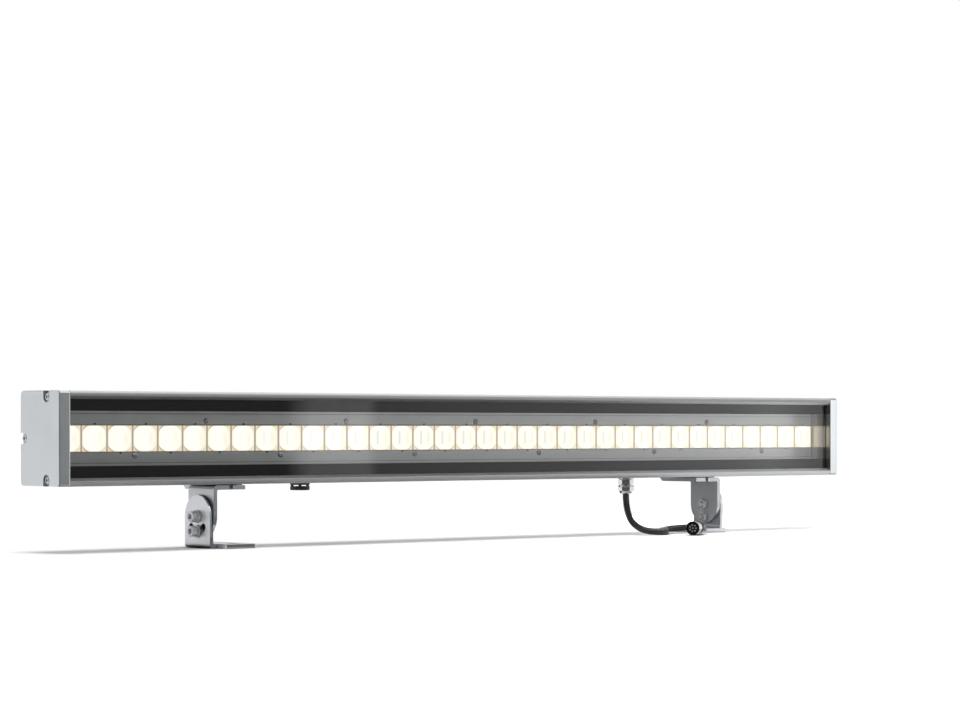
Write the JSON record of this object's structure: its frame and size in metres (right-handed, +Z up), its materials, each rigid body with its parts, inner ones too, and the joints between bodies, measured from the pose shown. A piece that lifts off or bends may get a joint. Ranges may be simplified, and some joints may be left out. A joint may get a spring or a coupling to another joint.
{
  "type": "led linear light",
  "caption": "Slim bar-shaped LED floodlight with a recessed glass over a row of square lenses, on two tilting bracket feet, with a short cable pigtail.",
  "frame": {"origin": "on the surface that the feet stand on, midway between the feet and under their pivot bolts", "axes": "+X along the bar to the end with the cable, +Y from the glass to the back, +Z up"},
  "size_m": [1.016, 0.1243, 0.1441],
  "materials": {
    "satin_aluminium": "satin anodised",
    "cap_metal": "fine satin",
    "grey_strip_metal": "satin grey",
    "plated_steel": "zinc plated",
    "stainless_steel": "stainless",
    "bright_nickel": "bright nickel plated",
    "black_rubber": "matte",
    "cable_sheath": "satin black sheath",
    "black_plastic": "matte",
    "clear_glass": "clear, toughened",
    "lit_lens": "clear moulding, lit warm white",
    "white_board": "white board",
    "green_board": "green board",
    "driver_metal": "plain"
  },
  "bodies": {
    "housing": {"housing_extrusion": "satin_aluminium", "left_end_cap": "cap_metal", "left_cap_screw_top": "stainless_steel", "left_cap_screw_bottom": "stainless_steel", "left_cap_screw_rear": "stainless_steel", "left_cap_gasket": "black_rubber", "right_end_cap": "cap_metal", "right_cap_screw_top": "stainless_steel", "right_cap_screw_bottom": "stainless_steel", "right_cap_screw_rear": "stainless_steel", "right_cap_gasket": "black_rubber", "front_glass": "clear_glass", "upper_glass_seal": "black_rubber", "lower_glass_seal": "black_rubber", "upper_cover_strip": "grey_strip_metal", "lower_cover_strip": "grey_strip_metal", "lens_module_1": "lit_lens", "led_board_1": "white_board", "lens_module_2": "lit_lens", "led_board_2": "white_board", "lens_module_3": "lit_lens", "led_board_3": "white_board", "led_driver": "driver_metal", "control_board": "green_board", "left_upper_bracket": "plated_steel", "left_bracket_pad": "black_rubber", "left_flange_screw_1": "stainless_steel", "left_flange_screw_2": "stainless_steel", "left_pivot_bolt": "stainless_steel", "left_pivot_washer": "stainless_steel", "left_pivot_nut": "stainless_steel", "left_lock_bolt": "stainless_steel", "left_lock_washer": "stainless_steel", "left_lock_nut": "stainless_steel", "right_upper_bracket": "plated_steel", "right_bracket_pad": "black_rubber", "right_flange_screw_1": "stainless_steel", "right_flange_screw_2": "stainless_steel", "right_pivot_bolt": "stainless_steel", "right_pivot_washer": "stainless_steel", "right_pivot_nut": "stainless_steel", "right_lock_bolt": "stainless_steel", "right_lock_washer": "stainless_steel", "right_lock_nut": "stainless_steel", "vent_plug": "black_plastic", "gland_body": "bright_nickel", "gland_nut": "bright_nickel", "gland_seal": "black_rubber", "supply_cable": "cable_sheath", "connector_body": "black_plastic", "connector_insert": "black_plastic"},
    "left_foot": {"left_foot_bracket": "plated_steel"},
    "right_foot": {"right_foot_bracket": "plated_steel"},
    "connector_nut": {"connector_nut": "bright_nickel"}
  },
  "joints": [
    {"name": "left_foot_tilt", "type": "hinge", "parent": "housing", "child": "left_foot", "pos_m": [-0.3358, 0, 0.029], "axis": [1, 0, 0], "range_deg": [-45, 45]},
    {"name": "right_foot_tilt", "type": "hinge", "parent": "housing", "child": "right_foot", "pos_m": [0.3358, 0, 0.029], "axis": [1, 0, 0], "range_deg": [-45, 45]},
    {"name": "connector_nut_turn", "type": "hinge", "parent": "housing", "child": "connector_nut", "pos_m": [0.2278, -0.0835, 0.0074], "axis": [0.8415, 0.5402, 0], "continuous": true}
  ],
  "couplings": [
    {"joint": "right_foot_tilt", "follows": "left_foot_tilt", "ratio": 1}
  ]
}
